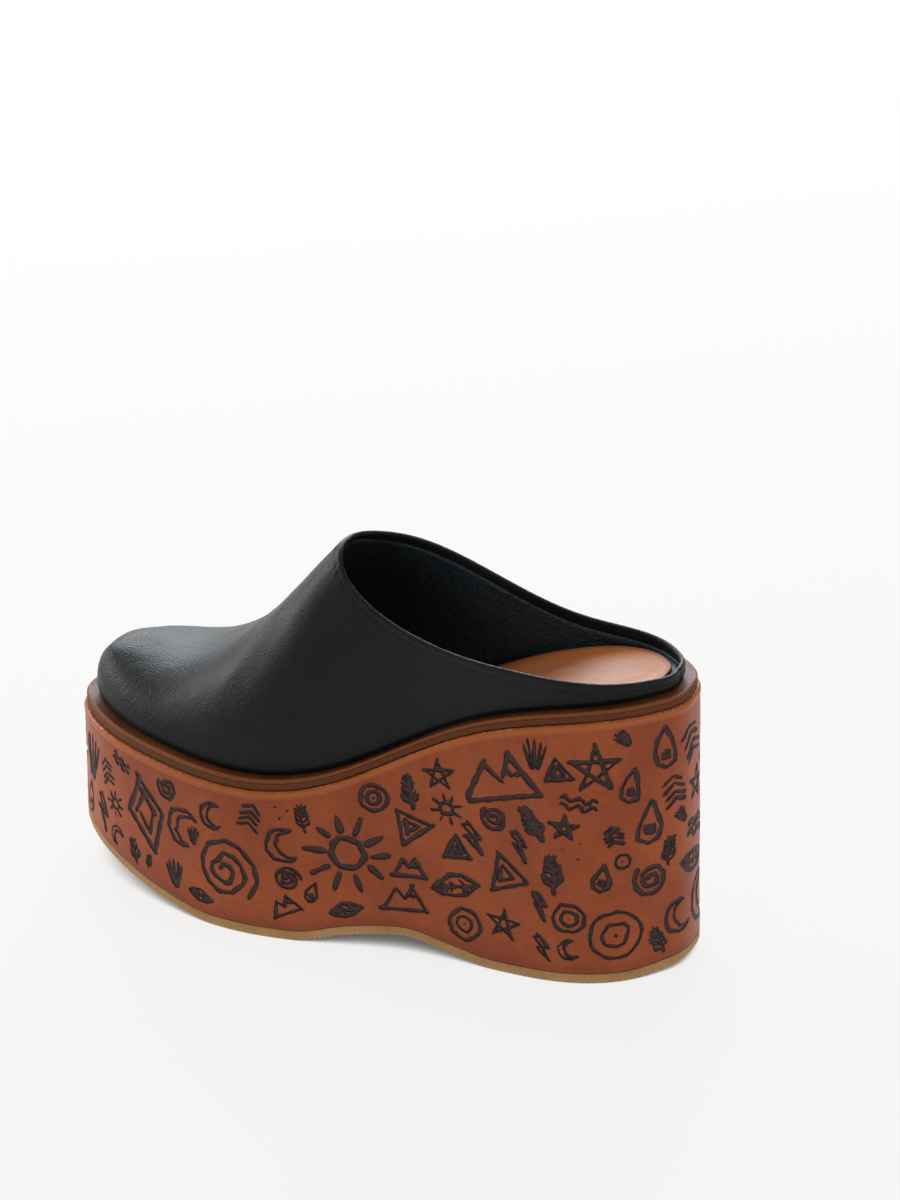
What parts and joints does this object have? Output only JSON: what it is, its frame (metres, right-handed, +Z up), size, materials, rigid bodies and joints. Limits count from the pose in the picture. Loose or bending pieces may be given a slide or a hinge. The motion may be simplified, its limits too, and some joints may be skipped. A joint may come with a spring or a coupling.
{
  "type": "wedge mule",
  "caption": "Closed-toe slip-on wedge mule: hollow black leather upper with a long oval opening and low heel rim, on a high leather-covered platform with a thin gum sole",
  "frame": {"origin": "centre of the bounding box at ground level, under the waist of the sole", "axes": "+Z up, the toe points to -Y, the lateral (outer) side of this left shoe is +X"},
  "size_m": [0.0998, 0.259, 0.1537],
  "materials": {
    "gum_rubber": "matte",
    "brown_leather_cover": "satin",
    "leather_board": "matte",
    "black_leather": "satin",
    "black_lining": "matte",
    "tan_leather": "satin"
  },
  "bodies": {
    "root": {"Outsole": "gum_rubber", "Wedge_Platform": "brown_leather_cover", "Midsole": "leather_board", "Upper": "black_leather", "Footbed": "black_lining", "Sock": "tan_leather"}
  },
  "joints": []
}
